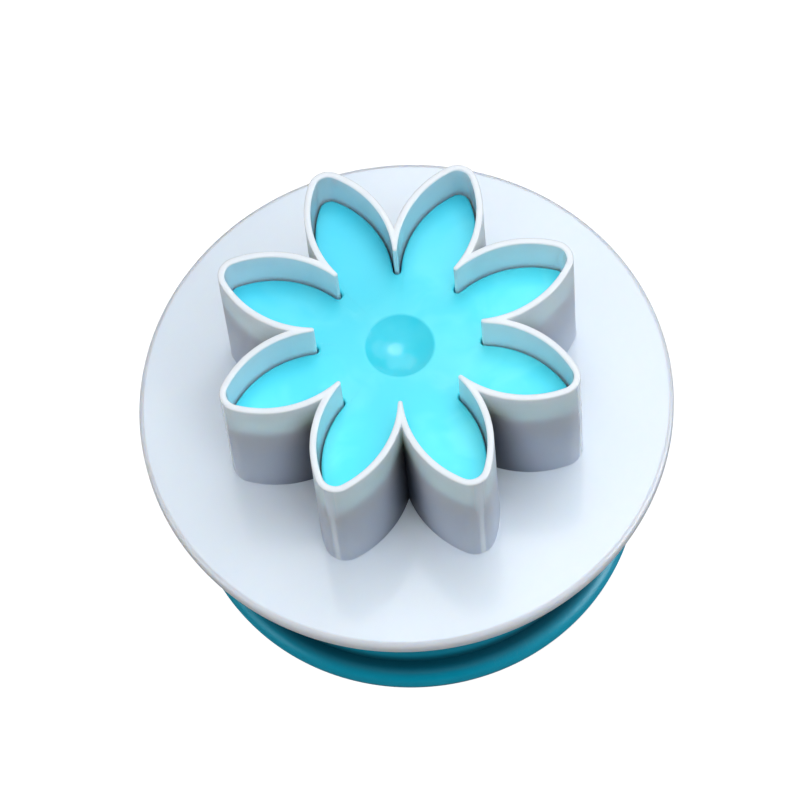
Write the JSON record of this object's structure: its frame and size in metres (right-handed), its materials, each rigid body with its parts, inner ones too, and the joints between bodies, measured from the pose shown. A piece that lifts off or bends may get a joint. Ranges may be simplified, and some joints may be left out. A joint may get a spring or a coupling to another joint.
{
  "type": "plunger cookie cutter",
  "caption": "Flower plunger cookie cutter: a thin petal blade on a round flange, with a spring-loaded dimpled flower ejector worked by a round press knob.",
  "frame": {"origin": "centre of the flat face of the press knob that the cutter stands on", "axes": "+Z along the plunger axis, from the press knob up to the cutting rim; +X and +Y each run through the middle of a petal"},
  "size_m": [0.065, 0.065, 0.0453],
  "materials": {
    "white_plastic": "glossy injection moulded white plastic",
    "cyan_plastic": "satin injection moulded cyan plastic",
    "teal_plastic": "satin injection moulded teal plastic",
    "spring_steel": "drawn stainless spring wire",
    "screw_steel": "bright stainless"
  },
  "bodies": {
    "plunger": {"push_knob": "teal_plastic", "knob_cover": "teal_plastic", "plunger_stem": "cyan_plastic", "flower_ejector": "cyan_plastic", "retaining_screw": "screw_steel", "screw_washer": "screw_steel", "return_spring": "spring_steel"},
    "cutter": {"cutter_body": "white_plastic"}
  },
  "joints": [
    {"name": "plunger_press", "type": "slide", "parent": "plunger", "child": "cutter", "axis": [0, 0, -1], "range_m": [0, 0.006], "stiffness_N_per_m": 300, "springref_m": -0.006, "deforming": ["return_spring"]}
  ]
}
